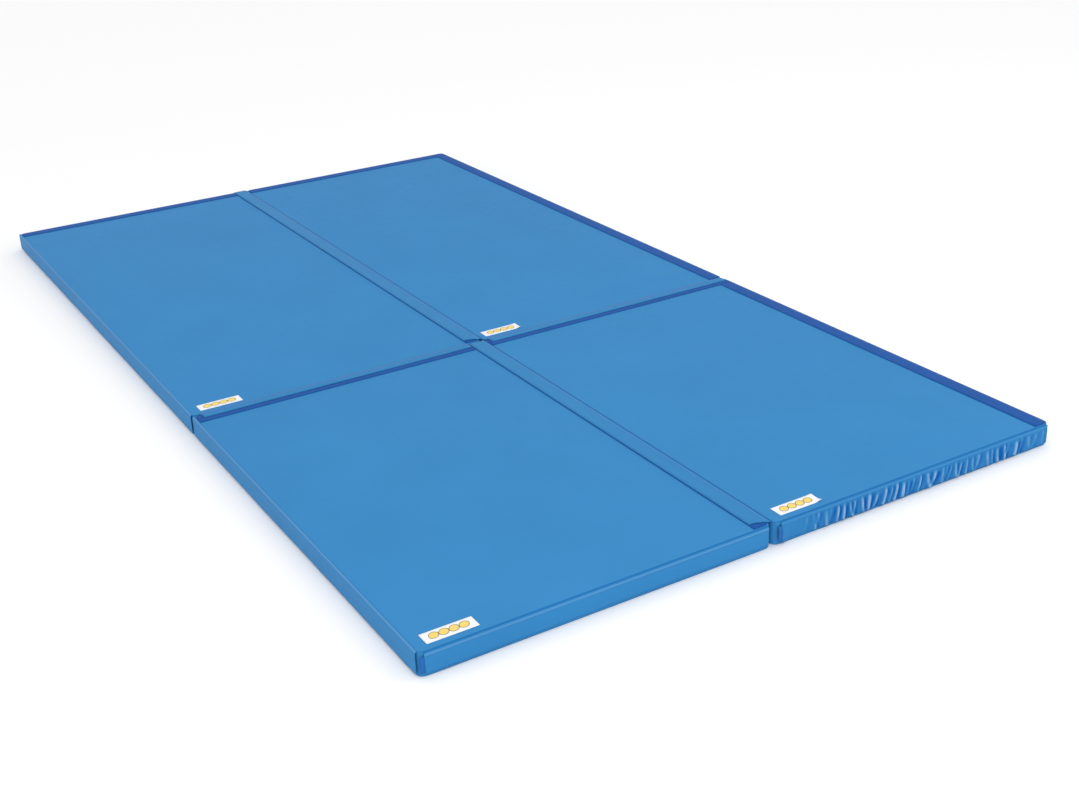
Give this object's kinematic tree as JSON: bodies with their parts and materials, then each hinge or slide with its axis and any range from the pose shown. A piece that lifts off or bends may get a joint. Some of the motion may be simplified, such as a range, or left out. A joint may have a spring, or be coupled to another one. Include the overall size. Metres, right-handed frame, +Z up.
{
  "type": "folding gym mat",
  "caption": "Blue padded gym mats with fabric covers over foam, joined edge to edge by hook-and-loop flaps that act as fold lines.",
  "frame": {"origin": "middle of the footprint, on the floor", "axes": "+Z up; +Y to the far (long) mats; +X to the right, towards the outer side loop tape"},
  "size_m": [2.0088, 3.7088, 0.0706],
  "materials": {
    "light_blue_cover": "PVC-coated polyester, fine weave showing, satin",
    "light_blue_flap": "PVC-coated polyester strip, satin",
    "blue_loop_tape": "woven loop tape, matt nap",
    "blue_hook_tape": "woven hook tape, rough",
    "cream_foam": "open-cell PU foam block",
    "dark_blue_base": "anti-slip coated fabric, matt",
    "white_label": "printed satin patch"
  },
  "bodies": {
    "back_left": {"back_left_base_sheet": "dark_blue_base", "back_left_cover": "light_blue_cover", "back_left_far_loop_tape": "blue_loop_tape", "back_left_foam_core": "cream_foam", "back_left_label": "white_label", "back_left_near_flap_root": "light_blue_flap", "back_left_right_loop_tape": "blue_loop_tape"},
    "back_right": {"back_right_base_sheet": "dark_blue_base", "back_right_cover": "light_blue_cover", "back_right_far_loop_tape": "blue_loop_tape", "back_right_foam_core": "cream_foam", "back_right_label": "white_label", "back_right_left_flap_root": "light_blue_flap", "back_right_near_flap_root": "light_blue_flap", "back_right_right_loop_tape": "blue_loop_tape"},
    "front_left": {"front_left_base_sheet": "dark_blue_base", "front_left_cover": "light_blue_cover", "front_left_far_loop_tape": "blue_loop_tape", "front_left_foam_core": "cream_foam", "front_left_label": "white_label", "front_left_right_loop_tape": "blue_loop_tape"},
    "front_right": {"front_right_base_sheet": "dark_blue_base", "front_right_cover": "light_blue_cover", "front_right_far_loop_tape": "blue_loop_tape", "front_right_foam_core": "cream_foam", "front_right_label": "white_label", "front_right_left_flap_root": "light_blue_flap", "front_right_right_loop_tape": "blue_loop_tape"},
    "back_left_left_flap_body": {"back_left_left_flap": "light_blue_flap", "back_left_left_hook_tape": "blue_hook_tape"},
    "back_left_near_flap_body": {"back_left_near_flap": "light_blue_flap", "back_left_near_hook_tape": "blue_hook_tape"},
    "back_right_left_flap_body": {"back_right_left_flap": "light_blue_flap", "back_right_left_hook_tape": "blue_hook_tape"},
    "back_right_near_flap_body": {"back_right_near_flap": "light_blue_flap", "back_right_near_hook_tape": "blue_hook_tape"},
    "front_left_left_flap_body": {"front_left_left_flap": "light_blue_flap", "front_left_left_hook_tape": "blue_hook_tape"},
    "front_left_near_flap_body": {"front_left_near_flap": "light_blue_flap", "front_left_near_hook_tape": "blue_hook_tape"},
    "front_right_left_flap_body": {"front_right_left_flap": "light_blue_flap", "front_right_left_hook_tape": "blue_hook_tape"},
    "front_right_near_flap_body": {"front_right_near_flap": "light_blue_flap", "front_right_near_hook_tape": "blue_hook_tape"}
  },
  "joints": [
    {"name": "right_fold", "type": "hinge", "parent": "back_left", "child": "back_right", "pos_m": [0.0014, 0.7544, 0.0715], "axis": [0, -1, 0], "range_deg": [0, 180]},
    {"name": "front_fold", "type": "hinge", "parent": "back_left", "child": "front_left", "pos_m": [-0.5016, -0.3486, 0.0715], "axis": [1, 0, 0], "range_deg": [-180, 0]},
    {"name": "front_right_fold", "type": "hinge", "parent": "front_left", "child": "front_right", "pos_m": [0.0014, -1.1016, 0.0715], "axis": [0, -1, 0], "range_deg": [0, 180]},
    {"name": "back_right_left_flap_peel", "type": "hinge", "parent": "back_left", "child": "back_right_left_flap_body", "pos_m": [0.0014, 0.7544, 0.0715], "axis": [0, 1, 0], "range_deg": [0, 180]},
    {"name": "front_right_left_flap_peel", "type": "hinge", "parent": "front_left", "child": "front_right_left_flap_body", "pos_m": [0.0014, -1.1016, 0.0715], "axis": [0, 1, 0], "range_deg": [0, 180]},
    {"name": "back_left_near_flap_peel", "type": "hinge", "parent": "front_left", "child": "back_left_near_flap_body", "pos_m": [-0.5016, -0.3486, 0.0715], "axis": [1, 0, 0], "range_deg": [-180, 0]},
    {"name": "back_right_near_flap_peel", "type": "hinge", "parent": "front_right", "child": "back_right_near_flap_body", "pos_m": [0.5044, -0.3486, 0.0715], "axis": [1, 0, 0], "range_deg": [-180, 0]},
    {"name": "back_left_left_flap_lift", "type": "hinge", "parent": "back_left", "child": "back_left_left_flap_body", "pos_m": [-1.0031, 0.7544, 0.064], "axis": [0, 1, 0], "range_deg": [0, 90]},
    {"name": "front_left_left_flap_lift", "type": "hinge", "parent": "front_left", "child": "front_left_left_flap_body", "pos_m": [-1.0031, -1.1016, 0.064], "axis": [0, 1, 0], "range_deg": [0, 90]},
    {"name": "front_left_near_flap_lift", "type": "hinge", "parent": "front_left", "child": "front_left_near_flap_body", "pos_m": [-0.5016, -1.8531, 0.058], "axis": [-1, 0, 0], "range_deg": [0, 90]},
    {"name": "front_right_near_flap_lift", "type": "hinge", "parent": "front_right", "child": "front_right_near_flap_body", "pos_m": [0.5044, -1.8531, 0.058], "axis": [-1, 0, 0], "range_deg": [0, 90]}
  ],
  "couplings": [
    {"joint": "front_right_fold", "follows": "right_fold", "ratio": 1}
  ]
}
